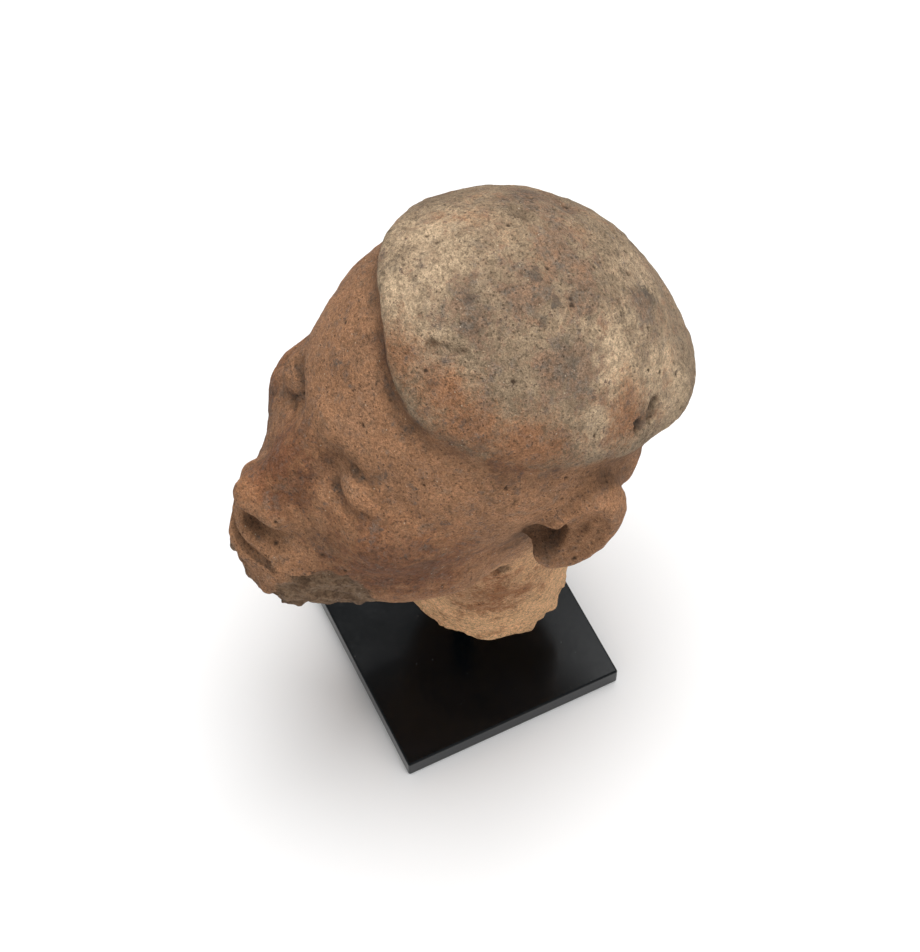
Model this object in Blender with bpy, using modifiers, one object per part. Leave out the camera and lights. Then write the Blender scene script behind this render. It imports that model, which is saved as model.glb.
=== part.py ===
"""A terracotta head with a close cap, broken off at the neck, on a steel rod and a black block.

Metres, +Z up. The origin is the middle of the block's underside, and the face looks along -Y.
"""

from collections import namedtuple
from math import cos, radians, sin

import bmesh
import bpy
import numpy as np
from mathutils import Matrix, Vector

COLLECTION = "terracotta_funerary_head"

# Driving sizes
HEAD_HEIGHT = 0.185
HEAD_TILT = radians(25.0)
NECK_LIFT = 0.042
SOCKET_DEPTH = 0.045
ROD_WIDTH = 0.008
BASE_WIDTH = 0.100
BASE_DEPTH = 0.100
BASE_HEIGHT = 0.010
BASE_FLOOR = 0.003
BASE_ROUNDING = 0.0008
CLEARANCE = 0.0003

# The skull's middle above the broken end of the neck and behind the rod, as shares of the head.
SKULL_RISE = 0.862
SKULL_BACK = 0.065
BREAK_HEIGHT = BASE_HEIGHT + NECK_LIFT
SKULL_PLACE = Vector((0.0, SKULL_BACK * HEAD_HEIGHT, BREAK_HEIGHT + SKULL_RISE * HEAD_HEIGHT))

# How finely the head's surface is laid out, then thinned.
SURFACE_STEP = 0.0021
HEAD_TRIANGLES = 8600
SETTLING_ROUNDS = (10, 6)
LAST_ROUNDS = 5
ROUNDS_WITHOUT_DRIFT = 3
DRIFT_SHARE = 0.5
PROBE_REACH = 0.002
LONGEST_MOVE = 0.03
ROD_SIDES = 32

# The head form. Lengths are shares of the head's height. A place is (side, front, up), from the
# middle of the skull, with side counted from the middle line of the face, and a pair is
# a centre with radii.
SKULL = ((0.0, 0.02, -0.02), (0.322, 0.340, 0.340))
SKULL_CORNER = ((0.176, -0.165, -0.060), (0.112, 0.100, 0.120))
FACE = ((0.0, 0.125, -0.26), (0.255, 0.262, 0.33))
CHEEK = ((0.172, 0.225, -0.235), (0.095, 0.10, 0.085))
CHIN = ((0.0, 0.302, -0.585), (0.080, 0.072, 0.062))
MOUTH_MOUND = ((0.0, 0.290, -0.455), (0.145, 0.112, 0.11))
JAW_BACK = (0.165, 0.02, -0.40)
JAW_FRONT = (0.05, 0.275, -0.555)
JAW_RADII = (0.08, 0.072)
NECK_TOP = (0.0, -0.095, -0.30)
NECK_FOOT = (0.0, -0.385, -0.83)
NECK_RADII = (0.238, 0.180)

EYE_SIDE = 0.133
EYE_UP = -0.155
LASH_DROP = 0.026
FOLD_RISE = 0.041
EYE_SOCKET = ((EYE_SIDE, 0.400, -0.150), (0.085, 0.075, 0.055))
EYE_BALL = ((EYE_SIDE, 0.262, EYE_UP), (0.086, 0.092, 0.062))
NOSE_ROOT = (0.0, 0.322, -0.09)
NOSE_END = (0.0, 0.405, -0.30)
NOSE_RADII = (0.030, 0.044)
NOSE_TIP = ((0.0, 0.426, -0.320), (0.046, 0.048, 0.040))
NOSE_WING = ((0.050, 0.381, -0.330), (0.036, 0.051, 0.036))
NOSTRIL = ((0.032, 0.406, -0.368), (0.013, 0.022, 0.015))
LIP_GROOVE_TOP = (0.0, 0.428, -0.375)
LIP_GROOVE_FOOT = (0.0, 0.434, -0.410)
LIP_GROOVE_RADII = (0.010, 0.012)

CAP = ((0.0, 0.012, 0.005), (0.342, 0.383, 0.361))
CAP_ROLL = ((0.0, -0.266, 0.086), (0.225, 0.122, 0.088))
CAP_EDGE = 0.070
CAP_EDGE_CLIMB = 0.102
CLIMB_SIDES = (0.215, -0.075)
CLIMB_FRONTS = (0.02, 0.19)
CAP_EDGE_DIP = 0.036
DIP_FRONTS = (-0.02, -0.20)

Ridge = namedtuple("Ridge", "middle last_side front front_bend up slope up_bend radius taper")
BROW = Ridge(0, 0.19, 0.353, 2.9, -0.080, 0.42, 1.9, 0.020, 0.5)
LASH_LINE = Ridge(EYE_SIDE, 0.205, 0.349, 7.2, EYE_UP - LASH_DROP, 0, -2.6, 0.0065, 1.3)
LID_FOLD = Ridge(EYE_SIDE, 0.200, 0.337, 7.2, EYE_UP + FOLD_RISE, 0, 3.2, 0.0050, 1.1)
UPPER_LIP = Ridge(0, 0.112, 0.392, 3.9, -0.438, 0.16, 2.2, 0.028, 2.0)
LOWER_LIP = Ridge(0, 0.105, 0.386, 4.2, -0.490, 0, -1.8, 0.031, 2.4)
MOUTH_LINE = Ridge(0, 0.110, 0.408, 4.2, -0.464, 0, -0.8, 0.0085, 0.4)
UNDER_LIP = Ridge(0, 0.050, 0.416, 3.0, -0.540, 0, -1.0, 0.020, 2.0)

EAR = ((0.320, -0.092, -0.122), (0.060, 0.096, 0.134))
EAR_BOWL = ((0.386, -0.062, -0.122), (0.056, 0.062, 0.094))
EAR_FOLD_TOP = (0.338, -0.108, -0.060)
EAR_FOLD_FOOT = (0.340, -0.102, -0.175)
EAR_FOLD_RADII = (0.011, 0.011)
EAR_HOLE_IN = (0.245, -0.045, -0.150)
EAR_HOLE_OUT = (0.400, -0.008, -0.156)
EAR_HOLE_RADII = (0.024, 0.062)

# Damage, with the figure's own left as positive side.
CHIN_BREAK = ((0.045, 0.472, -0.655), (0.225, 0.185, 0.112))
CAP_SCRATCH_START = (0.100, 0.301, 0.219)
CAP_SCRATCH_END = (0.137, 0.260, 0.239)
CAP_SCRATCH_RADII = (0.009, 0.004)
CAP_DENT = ((-0.135, -0.080, 0.357), (0.060, 0.035, 0.030))

# Soft meetings between forms, and the unevenness of the broken neck and chin.
WIDE_BLEND = 0.10
BODY_BLEND = 0.06
SOFT_BLEND = 0.04
MIDDLE_BLEND = 0.026
CLOSE_BLEND = 0.014
CRISP_BLEND = 0.008
NECK_WAVE = 0.009
NECK_TURNS = 17
CHIN_WAVE = 0.006
CHIN_TURNS = 57
MIDDLE_SOFTNESS = 0.012


def ellipsoid(points, form):
    centre, radii = np.array(form)
    away = points - centre
    reach = np.linalg.norm(away / radii, axis=1)
    slope = np.linalg.norm(away / (radii * radii), axis=1)
    return reach * (reach - 1) / np.maximum(slope, 1e-6)


def bone(points, start, end, radii):
    start, end = np.array(start), np.array(end)
    line = end - start
    along = np.clip((points - start) @ line / (line @ line), 0, 1)
    away = np.linalg.norm(points - start - along[:, None] * line, axis=1)
    return away - radii[0] - (radii[1] - radii[0]) * along


def ridge(points, form):
    """A bent rod across the face. Its front, height and radius change with its side."""
    side = np.clip(points[:, 0], 0, form.last_side)
    off = side - form.middle
    front = form.front - form.front_bend * off**2
    up = form.up + form.slope * off - form.up_bend * off**2
    away = np.stack([points[:, 0] - side, points[:, 1] - front, points[:, 2] - up])
    return np.linalg.norm(away, axis=0) - form.radius + form.taper * off**2


def joined(one, other, blend):
    share = np.clip(0.5 + 0.5 * (other - one) / blend, 0, 1)
    return other + (one - other) * share - blend * share * (1 - share)


def carved(body, tool, blend):
    return -joined(-body, tool, blend)


def eased(value, low, high):
    share = np.clip((value - low) / (high - low), 0, 1)
    return share * share * (3 - 2 * share)


def with_brow_and_eyes(body, points):
    body = joined(body, ridge(points, BROW), SOFT_BLEND)
    body = carved(body, ellipsoid(points, EYE_SOCKET), SOFT_BLEND)
    body = joined(body, ellipsoid(points, EYE_BALL), CLOSE_BLEND)
    body = carved(body, ridge(points, LASH_LINE), CRISP_BLEND)
    return carved(body, ridge(points, LID_FOLD), CRISP_BLEND)


def with_nose(body, points):
    body = joined(body, bone(points, NOSE_ROOT, NOSE_END, NOSE_RADII), SOFT_BLEND)
    body = joined(body, ellipsoid(points, NOSE_TIP), MIDDLE_BLEND)
    body = joined(body, ellipsoid(points, NOSE_WING), MIDDLE_BLEND)
    return carved(body, ellipsoid(points, NOSTRIL), CLOSE_BLEND)


def with_mouth(body, points):
    body = joined(body, ridge(points, UPPER_LIP), CLOSE_BLEND)
    body = joined(body, ridge(points, LOWER_LIP), CLOSE_BLEND)
    body = carved(body, ridge(points, MOUTH_LINE), CRISP_BLEND)
    body = carved(body, bone(points, LIP_GROOVE_TOP, LIP_GROOVE_FOOT, LIP_GROOVE_RADII), CLOSE_BLEND)
    return carved(body, ridge(points, UNDER_LIP), MIDDLE_BLEND)


def above_cap_edge(places):
    side, front, up = places.T
    climb = eased(side, *CLIMB_SIDES) * eased(front, *CLIMB_FRONTS)
    dip = eased(front, *DIP_FRONTS)
    return up - CAP_EDGE - CAP_EDGE_CLIMB * climb + CAP_EDGE_DIP * dip


def with_cap(body, points, places):
    """The close cap: a soft edge that climbs over the brow, and a thick roll at the back."""
    cap = joined(ellipsoid(points, CAP), ellipsoid(points, CAP_ROLL), WIDE_BLEND)
    cap = carved(cap, above_cap_edge(places), SOFT_BLEND)
    return joined(body, cap, SOFT_BLEND)


def with_ears(body, points):
    ear = carved(ellipsoid(points, EAR), ellipsoid(points, EAR_BOWL), CLOSE_BLEND)
    ear = joined(ear, bone(points, EAR_FOLD_TOP, EAR_FOLD_FOOT, EAR_FOLD_RADII), CLOSE_BLEND)
    body = joined(body, ear, MIDDLE_BLEND)
    return carved(body, bone(points, EAR_HOLE_IN, EAR_HOLE_OUT, EAR_HOLE_RADII), CLOSE_BLEND)


def with_damage(body, places):
    side, front, up = places.T
    wave = np.sin(NECK_TURNS * side + 1) * np.cos(NECK_TURNS * front)
    wave += 0.5 * np.sin(2 * NECK_TURNS * (side + front))
    rough = CHIN_WAVE * np.sin(CHIN_TURNS * side + 2) * np.sin(CHIN_TURNS * up)
    body = carved(body, ellipsoid(places, CHIN_BREAK) + rough, CRISP_BLEND)
    body = carved(body, ellipsoid(places, CAP_DENT), MIDDLE_BLEND)
    scratch = bone(places, CAP_SCRATCH_START, CAP_SCRATCH_END, CAP_SCRATCH_RADII)
    body = carved(body, scratch, CRISP_BLEND)
    height = front * sin(HEAD_TILT) + up * cos(HEAD_TILT)
    return carved(body, height + SKULL_RISE - NECK_WAVE * wave, CLOSE_BLEND)


def head_form(places):
    """How far each place lies outside the head, in shares of the head's height."""
    # both halves are alike, and a small softness keeps the middle line from showing as a crease
    points = places.copy()
    points[:, 0] = np.sqrt(places[:, 0] ** 2 + MIDDLE_SOFTNESS**2)
    body = joined(ellipsoid(points, SKULL), ellipsoid(points, SKULL_CORNER), BODY_BLEND)
    body = joined(body, ellipsoid(points, FACE), WIDE_BLEND)
    body = joined(body, bone(points, JAW_BACK, JAW_FRONT, JAW_RADII), WIDE_BLEND)
    body = joined(body, ellipsoid(points, CHEEK), BODY_BLEND)
    body = joined(body, ellipsoid(points, CHIN), BODY_BLEND)
    body = joined(body, bone(points, NECK_TOP, NECK_FOOT, NECK_RADII), BODY_BLEND)
    body = joined(body, ellipsoid(points, MOUTH_MOUND), BODY_BLEND)
    body = with_brow_and_eyes(body, points)
    body = with_nose(body, points)
    body = with_mouth(body, points)
    body = with_cap(body, points, places)
    body = with_ears(body, points)
    return with_damage(body, places)


def in_metres(place):
    """A (side, front, up) place of the head form in the head's own metres, with the face along -Y."""
    side, front, up = place
    return Vector((side, -front, up)) * HEAD_HEIGHT


def in_shares(points):
    return points * np.array((1, -1, 1)) / HEAD_HEIGHT


def clear_scene():
    for obj in list(bpy.data.objects):
        bpy.data.objects.remove(obj, do_unlink=True)


def new_collection(name):
    collection = bpy.data.collections.new(name)
    bpy.context.scene.collection.children.link(collection)
    return collection


def material(name, colour, roughness, metallic):
    made = bpy.data.materials.new(name)
    made.use_nodes = True
    shader = made.node_tree.nodes["Principled BSDF"]
    shader.inputs["Base Color"].default_value = (*colour, 1)
    shader.inputs["Roughness"].default_value = roughness
    shader.inputs["Metallic"].default_value = metallic
    return made


def mesh_object(name, mesh, collection, look=None):
    obj = bpy.data.objects.new(name, mesh)
    collection.objects.link(obj)
    if look:
        mesh.materials.append(look)
    return obj


def evaluated_mesh(obj):
    graph = bpy.context.evaluated_depsgraph_get()
    return bpy.data.meshes.new_from_object(obj.evaluated_get(graph))


def mesh_of(bm, name):
    mesh = bpy.data.meshes.new(name)
    bm.to_mesh(mesh)
    bm.free()
    return mesh


def add_ball(bm, form, mirrored):
    centre, radii = form
    for hand in (1, -1) if mirrored else (1,):
        place = in_metres((hand * centre[0], centre[1], centre[2]))
        shape = Matrix.Translation(place) @ Matrix.Diagonal((*Vector(radii) * HEAD_HEIGHT, 1))
        bmesh.ops.create_icosphere(bm, subdivisions=4, radius=1, matrix=shape)


def add_bone(bm, start, end, radii, mirrored):
    for hand in (1, -1) if mirrored else (1,):
        low = in_metres((hand * start[0], start[1], start[2]))
        high = in_metres((hand * end[0], end[1], end[2]))
        turn = (high - low).to_track_quat("Z", "Y").to_matrix().to_4x4()
        bmesh.ops.create_cone(
            bm,
            cap_ends=True,
            segments=48,
            radius1=radii[0] * HEAD_HEIGHT,
            radius2=radii[1] * HEAD_HEIGHT,
            depth=(high - low).length,
            matrix=Matrix.Translation((low + high) / 2) @ turn,
        )


def rough_head(collection):
    """Balls and cones near the final form, made one closed skin."""
    bm = bmesh.new()
    for form in (SKULL, CAP, CAP_ROLL, FACE, CHIN, MOUTH_MOUND, NOSE_TIP):
        add_ball(bm, form, mirrored=False)
    for form in (CHEEK, EYE_BALL, EAR):
        add_ball(bm, form, mirrored=True)
    add_bone(bm, NECK_TOP, NECK_FOOT, NECK_RADII, mirrored=False)
    add_bone(bm, NOSE_ROOT, NOSE_END, NOSE_RADII, mirrored=False)
    add_bone(bm, JAW_BACK, JAW_FRONT, JAW_RADII, mirrored=True)
    return skinned(mesh_of(bm, "rough_head"), collection)


def skinned(mesh, collection):
    """The mesh's outside as one even skin of small quads."""
    obj = mesh_object("skinned", mesh, collection)
    skin = obj.modifiers.new("one skin", "REMESH")
    skin.mode = "VOXEL"
    skin.voxel_size = SURFACE_STEP
    skin.adaptivity = 0
    result = evaluated_mesh(obj)
    bpy.data.objects.remove(obj, do_unlink=True)
    return result


def settled(places, edges, rounds):
    """The skin's points moved onto the head form, and evened out along it."""
    count = np.bincount(edges.ravel(), minlength=len(places))[:, None]
    probes = np.array(((1, -1, -1), (-1, -1, 1), (-1, 1, -1), (1, 1, 1)), float)
    for turn in range(rounds):
        slope = sum(probe * head_form(places + PROBE_REACH * probe)[:, None] for probe in probes)
        slope /= np.linalg.norm(slope, axis=1)[:, None] + 1e-9
        distance = np.clip(head_form(places), -LONGEST_MOVE, LONGEST_MOVE)
        places = places - distance[:, None] * slope
        if turn < rounds - ROUNDS_WITHOUT_DRIFT:
            sums = np.stack(
                [
                    np.bincount(edges[:, 0], places[edges[:, 1], axis], len(places))
                    + np.bincount(edges[:, 1], places[edges[:, 0], axis], len(places))
                    for axis in range(3)
                ],
                axis=1,
            )
            drift = sums / count - places
            drift -= (drift * slope).sum(1)[:, None] * slope
            places = places + DRIFT_SHARE * drift
    return places


def settle(mesh, rounds):
    points = np.empty(len(mesh.vertices) * 3)
    mesh.vertices.foreach_get("co", points)
    edges = np.empty(len(mesh.edges) * 2, int)
    mesh.edges.foreach_get("vertices", edges)
    places = settled(in_shares(points.reshape(-1, 3)), edges.reshape(-1, 2), rounds)
    points = places * np.array((1, -1, 1)) * HEAD_HEIGHT
    mesh.vertices.foreach_set("co", points.ravel())
    mesh.update()


def cylinder_cutter(name, width, low, high, collection):
    bm = bmesh.new()
    bmesh.ops.create_cone(
        bm,
        cap_ends=True,
        segments=ROD_SIDES,
        radius1=width / 2,
        radius2=width / 2,
        depth=high - low,
    )
    cutter = mesh_object(name, mesh_of(bm, name), collection)
    cutter.location.z = (low + high) / 2
    cutter.hide_render = True
    cutter.display_type = "WIRE"
    return cutter


def cut(obj, cutter):
    boolean = obj.modifiers.new(cutter.name, "BOOLEAN")
    boolean.operation = "DIFFERENCE"
    boolean.solver = "EXACT"
    boolean.object = cutter


def make_head(collection, helpers):
    mesh = rough_head(helpers)
    for rounds in SETTLING_ROUNDS:
        settle(mesh, rounds)
        mesh = skinned(mesh, helpers)
    settle(mesh, LAST_ROUNDS)
    mesh.name = "terracotta_head"
    look = material("terracotta", (0.33, 0.185, 0.115), 0.9, 0.0)
    head = mesh_object("terracotta_head", mesh, collection, look)
    head.location = SKULL_PLACE
    head.rotation_euler.x = -HEAD_TILT
    thin = head.modifiers.new("thin out", "DECIMATE")
    triangles = sum(len(face.vertices) - 2 for face in mesh.polygons)
    thin.ratio = HEAD_TRIANGLES / triangles
    socket = cylinder_cutter(
        "rod_socket",
        ROD_WIDTH + 2 * CLEARANCE,
        BASE_HEIGHT,
        BREAK_HEIGHT + SOCKET_DEPTH,
        helpers,
    )
    cut(head, socket)
    return head


def make_rod(collection):
    foot = BASE_FLOOR + CLEARANCE
    top = BREAK_HEIGHT + SOCKET_DEPTH - CLEARANCE
    bm = bmesh.new()
    bmesh.ops.create_cone(
        bm,
        cap_ends=True,
        segments=ROD_SIDES,
        radius1=ROD_WIDTH / 2,
        radius2=ROD_WIDTH / 2,
        depth=top - foot,
    )
    look = material("black_steel", (0.02, 0.02, 0.022), 0.4, 0.6)
    rod = mesh_object("mounting_rod", mesh_of(bm, "mounting_rod"), collection, look)
    rod.location.z = (foot + top) / 2
    return rod


def make_base(collection, helpers):
    bm = bmesh.new()
    size = Matrix.Diagonal((BASE_WIDTH, BASE_DEPTH, BASE_HEIGHT, 1))
    bmesh.ops.create_cube(bm, size=1, matrix=size)
    look = material("black_block", (0.012, 0.012, 0.014), 0.3, 0.0)
    base = mesh_object("base_block", mesh_of(bm, "base_block"), collection, look)
    base.location.z = BASE_HEIGHT / 2
    rounding = base.modifiers.new("eased edges", "BEVEL")
    rounding.width = BASE_ROUNDING
    rounding.segments = 2
    hole = cylinder_cutter(
        "rod_hole",
        ROD_WIDTH + 2 * CLEARANCE,
        BASE_FLOOR,
        BASE_HEIGHT + NECK_LIFT / 2,
        helpers,
    )
    cut(base, hole)
    return base


def main():
    clear_scene()
    collection = new_collection(COLLECTION)
    helpers = new_collection("cutters")
    make_head(collection, helpers)
    make_rod(collection)
    make_base(collection, helpers)


main()
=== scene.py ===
"""The look of the terracotta head, its rod and its block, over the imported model."""

from collections import namedtuple
from math import cos, radians, sin

import bmesh
import bpy
import numpy as np
from mathutils import Matrix, Vector


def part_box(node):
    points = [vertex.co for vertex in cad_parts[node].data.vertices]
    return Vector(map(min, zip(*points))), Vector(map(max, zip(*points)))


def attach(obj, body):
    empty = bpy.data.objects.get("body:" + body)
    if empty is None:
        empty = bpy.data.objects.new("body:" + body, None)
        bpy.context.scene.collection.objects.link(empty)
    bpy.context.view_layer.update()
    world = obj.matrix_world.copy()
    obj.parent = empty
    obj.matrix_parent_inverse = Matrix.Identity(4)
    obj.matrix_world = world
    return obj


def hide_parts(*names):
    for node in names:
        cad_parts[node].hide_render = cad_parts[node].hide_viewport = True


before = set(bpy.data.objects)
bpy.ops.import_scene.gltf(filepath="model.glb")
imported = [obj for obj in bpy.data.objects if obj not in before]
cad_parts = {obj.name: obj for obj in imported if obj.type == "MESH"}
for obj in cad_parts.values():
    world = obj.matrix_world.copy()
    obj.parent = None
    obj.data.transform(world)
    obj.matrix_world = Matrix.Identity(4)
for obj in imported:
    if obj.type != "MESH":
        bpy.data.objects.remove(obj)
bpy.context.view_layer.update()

# The stand and the head's place, as the solids have them
HEAD_HEIGHT = 0.185
HEAD_TILT = radians(25.0)
NECK_LIFT = 0.042
SOCKET_DEPTH = 0.045
ROD_WIDTH = 0.008
CLEARANCE = 0.0003
BASE_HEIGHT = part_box("base_block")[1][2]
BREAK_HEIGHT = BASE_HEIGHT + NECK_LIFT
SKULL_RISE = 0.862
SKULL_BACK = 0.065
SKULL_PLACE = Vector((0.0, SKULL_BACK * HEAD_HEIGHT, BREAK_HEIGHT + SKULL_RISE * HEAD_HEIGHT))

# How finely the head's surface is laid out
COARSE_STEP = 0.0021
FINE_STEP = 0.00120
COARSE_ROUNDS = (10, 6)
FINE_ROUNDS = 6
ROUNDS_WITHOUT_DRIFT = 3
DRIFT_SHARE = 0.5
PROBE_REACH = 0.002
LATTICE_COUNT = 32
FAR_AWAY = 9.0
LONGEST_MOVE = 0.03
ROD_SIDES = 48

# The head form. Lengths are shares of the head's height. A place is (side, front, up), from the
# middle of the skull, with side counted from the middle line of the face, and a pair is
# a centre with radii.
SKULL = ((0.0, 0.02, -0.02), (0.322, 0.340, 0.340))
SKULL_CORNER = ((0.176, -0.165, -0.060), (0.112, 0.100, 0.120))
FACE = ((0.0, 0.125, -0.26), (0.255, 0.262, 0.33))
CHEEK = ((0.172, 0.225, -0.235), (0.095, 0.10, 0.085))
CHIN = ((0.0, 0.302, -0.585), (0.080, 0.072, 0.062))
MOUTH_MOUND = ((0.0, 0.290, -0.455), (0.145, 0.112, 0.11))
JAW_BACK = (0.165, 0.02, -0.40)
JAW_FRONT = (0.05, 0.275, -0.555)
JAW_RADII = (0.08, 0.072)
NECK_TOP = (0.0, -0.095, -0.30)
NECK_FOOT = (0.0, -0.385, -0.83)
NECK_RADII = (0.238, 0.180)

EYE_SIDE = 0.133
EYE_UP = -0.155
LASH_DROP = 0.026
FOLD_RISE = 0.041
EYE_SOCKET = ((EYE_SIDE, 0.400, -0.150), (0.085, 0.075, 0.055))
EYE_BALL = ((EYE_SIDE, 0.262, EYE_UP), (0.086, 0.092, 0.062))
NOSE_ROOT = (0.0, 0.322, -0.09)
NOSE_END = (0.0, 0.405, -0.30)
NOSE_RADII = (0.030, 0.044)
NOSE_TIP = ((0.0, 0.426, -0.320), (0.046, 0.048, 0.040))
NOSE_WING = ((0.050, 0.381, -0.330), (0.036, 0.051, 0.036))
NOSTRIL = ((0.032, 0.406, -0.368), (0.013, 0.022, 0.015))
LIP_GROOVE_TOP = (0.0, 0.428, -0.375)
LIP_GROOVE_FOOT = (0.0, 0.434, -0.410)
LIP_GROOVE_RADII = (0.010, 0.012)

CAP = ((0.0, 0.012, 0.005), (0.342, 0.383, 0.361))
CAP_ROLL = ((0.0, -0.266, 0.086), (0.225, 0.122, 0.088))
CAP_EDGE = 0.070
CAP_EDGE_CLIMB = 0.102
CLIMB_SIDES = (0.215, -0.075)
CLIMB_FRONTS = (0.02, 0.19)
CAP_EDGE_DIP = 0.036
DIP_FRONTS = (-0.02, -0.20)

Ridge = namedtuple("Ridge", "middle last_side front front_bend up slope up_bend radius taper")
BROW = Ridge(0, 0.19, 0.353, 2.9, -0.080, 0.42, 1.9, 0.020, 0.5)
LASH_LINE = Ridge(EYE_SIDE, 0.205, 0.349, 7.2, EYE_UP - LASH_DROP, 0, -2.6, 0.0065, 1.3)
LID_FOLD = Ridge(EYE_SIDE, 0.200, 0.337, 7.2, EYE_UP + FOLD_RISE, 0, 3.2, 0.0050, 1.1)
UPPER_LIP = Ridge(0, 0.112, 0.392, 3.9, -0.438, 0.16, 2.2, 0.028, 2.0)
LOWER_LIP = Ridge(0, 0.105, 0.386, 4.2, -0.490, 0, -1.8, 0.031, 2.4)
MOUTH_LINE = Ridge(0, 0.110, 0.408, 4.2, -0.464, 0, -0.8, 0.0085, 0.4)
UNDER_LIP = Ridge(0, 0.050, 0.416, 3.0, -0.540, 0, -1.0, 0.020, 2.0)

EAR = ((0.320, -0.092, -0.122), (0.060, 0.096, 0.134))
EAR_BOWL = ((0.386, -0.062, -0.122), (0.056, 0.062, 0.094))
EAR_FOLD_TOP = (0.338, -0.108, -0.060)
EAR_FOLD_FOOT = (0.340, -0.102, -0.175)
EAR_FOLD_RADII = (0.011, 0.011)
EAR_HOLE_IN = (0.245, -0.045, -0.150)
EAR_HOLE_OUT = (0.400, -0.008, -0.156)
EAR_HOLE_RADII = (0.024, 0.062)

# Damage, with the figure's own left as positive side.
CHIN_BREAK = ((0.045, 0.472, -0.655), (0.225, 0.185, 0.112))
CAP_SCRATCH_START = (0.100, 0.301, 0.219)
CAP_SCRATCH_END = (0.137, 0.260, 0.239)
CAP_SCRATCH_RADII = (0.009, 0.004)
CAP_DENT = ((-0.135, -0.080, 0.357), (0.060, 0.035, 0.030))

# Soft meetings between forms, and the unevenness of the broken neck and chin.
WIDE_BLEND = 0.10
BODY_BLEND = 0.06
SOFT_BLEND = 0.04
MIDDLE_BLEND = 0.026
CLOSE_BLEND = 0.014
CRISP_BLEND = 0.008
NECK_WAVE = 0.009
NECK_TURNS = 17
CHIN_WAVE = 0.006
CHIN_TURNS = 57
MIDDLE_SOFTNESS = 0.012

# The photograph's camera
CAMERA_PLACE = (0.41245, -0.20379, 0.94178)
CAMERA_AZIMUTH = radians(63.859)
CAMERA_ELEVATION = radians(60.179)
CAMERA_LENS = 90.0
CAMERA_SENSOR = 36.0

# The floor, the room and the lights
FLOOR_REACH = 3.0
ROOM_STRENGTH = 0.40
SOFT_BOX_PLACE = (-0.08, 0.09, 1.7)
SOFT_BOX_SIZE = 1.08
SOFT_BOX_POWER = 25
FILL_PLACE = (1.35, 0.55, 0.8)
FILL_SIZE = 1.4
FILL_POWER = 5.5
GLEAM_PLACE = (-0.50, 0.62, 1.7)
GLEAM_SIZE = 0.5
GLEAM_POWER = 1.7

# Worn and marked places of the head, each a place with its reach, in the head form's shares
CHIN_SCAR = (
    ((0.175, 0.272, -0.530), (0.14, 0.18, 0.170)),
    ((0.190, 0.170, -0.570), (0.11, 0.14, 0.130)),
    ((0.090, 0.340, -0.640), (0.14, 0.14, 0.110)),
)
EDGE_CHIPS = (
    ((0.294, -0.118, 0.142), 0.040),
    ((0.271, -0.156, 0.158), 0.046),
    ((0.223, -0.107, -0.430), 0.035),
)
TOP_DENT = ((-0.087, 0.054, 0.351), (0.050, 0.034, 0.030))
DEEP_PITS = (
    ((0.100, 0.300, 0.218), 0.0120, 0.0030),
    ((-0.116, -0.084, 0.319), 0.0120, 0.0018),
    ((0.197, -0.318, -0.621), 0.0120, 0.0014),
    ((0.132, 0.051, 0.336), 0.0090, 0.0010),
    ((0.214, 0.186, 0.234), 0.0080, 0.0010),
    ((0.127, 0.313, 0.184), 0.0070, 0.0008),
)
FILM = (
    ((0.025, 0.030, 0.363), (0.13, 0.10, 0.10)),
    ((0.079, 0.130, 0.339), (0.12, 0.10, 0.10)),
    ((0.075, 0.240, 0.282), (0.13, 0.08, 0.10)),
    ((0.110, 0.019, 0.346), (0.09, 0.09, 0.09)),
    ((0.135, -0.140, 0.305), (0.08, 0.07, 0.08)),
    ((0.228, 0.081, 0.266), (0.13, 0.14, 0.12)),
    ((-0.120, -0.020, 0.345), (0.13, 0.14, 0.12)),
)
BUFF = (
    ((-0.010, 0.320, 0.215), (0.30, 0.19, 0.15)),
    ((-0.082, 0.240, 0.270), (0.28, 0.19, 0.18)),
    ((-0.040, 0.330, 0.180), (0.24, 0.12, 0.14)),
    ((0.160, -0.110, 0.300), (0.10, 0.09, 0.09)),
    ((0.211, -0.012, 0.288), (0.14, 0.16, 0.12)),
    ((0.305, -0.010, 0.180), (0.11, 0.15, 0.11)),
    ((0.248, -0.162, 0.206), (0.17, 0.16, 0.17)),
    ((0.061, -0.156, 0.323), (0.12, 0.14, 0.12)),
    ((0.240, -0.250, 0.140), (0.18, 0.15, 0.17)),
)
OCHRE = (
    ((0.298, 0.145, 0.125), (0.16, 0.22, 0.13)),
    ((0.310, -0.080, 0.180), (0.12, 0.14, 0.12)),
    ((0.238, 0.250, 0.130), (0.15, 0.14, 0.12)),
    ((0.166, 0.295, 0.165), (0.13, 0.12, 0.10)),
    ((0.062, 0.337, 0.165), (0.15, 0.12, 0.12)),
    ((0.210, 0.200, -0.300), (0.26, 0.32, 0.28)),
    ((-0.210, 0.200, -0.300), (0.26, 0.32, 0.28)),
    ((0.000, 0.380, -0.240), (0.16, 0.16, 0.20)),
    ((0.180, -0.150, -0.560), (0.20, 0.24, 0.20)),
)
SPOTS = (
    ((0.119, 0.084, 0.337), 0.024),
    ((0.149, 0.117, 0.314), 0.020),
    ((0.115, -0.175, 0.296), 0.030),
    ((0.101, -0.158, 0.310), 0.022),
    ((0.226, 0.258, 0.145), 0.022),
    ((0.152, 0.305, 0.173), 0.018),
    ((0.058, 0.228, 0.296), 0.026),
    ((0.286, -0.130, 0.150), 0.045),
    ((0.063, 0.103, 0.349), 0.030),
    ((0.158, 0.020, 0.325), 0.026),
)

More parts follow.
